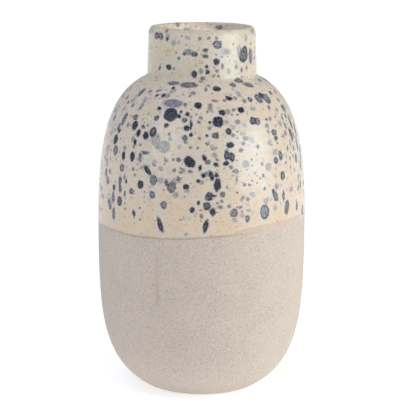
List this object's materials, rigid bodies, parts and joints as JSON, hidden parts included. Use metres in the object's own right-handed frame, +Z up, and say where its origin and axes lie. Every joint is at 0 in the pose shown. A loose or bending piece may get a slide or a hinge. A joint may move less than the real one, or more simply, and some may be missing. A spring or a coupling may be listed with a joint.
{
  "type": "stoneware pottery vase",
  "caption": "Wheel-thrown stoneware vase with a tall egg-shaped belly, short straight neck, bare clay lower half and speckled glaze above a slightly tilted line.",
  "frame": {"origin": "centre of the foot's underside, on the surface that the vase stands on", "axes": "+Z up along the vase's axis, -Y towards the side that is seen from the front, +X to the viewer's right, where the edge of the speckled glaze is higher"},
  "size_m": [0.1327, 0.1328, 0.23],
  "materials": {
    "clay": "matte, fine sandy grain, unglazed warm grey-beige stoneware",
    "speckled_glaze": "glossy cream glaze with slate-blue and brown specks of 0.5 to 8 mm",
    "liner_glaze": "glossy tan glaze"
  },
  "bodies": {
    "root": {"clay_body": "clay", "neck_collar": "clay", "speckled_glaze": "speckled_glaze", "liner_glaze": "liner_glaze"}
  },
  "joints": []
}
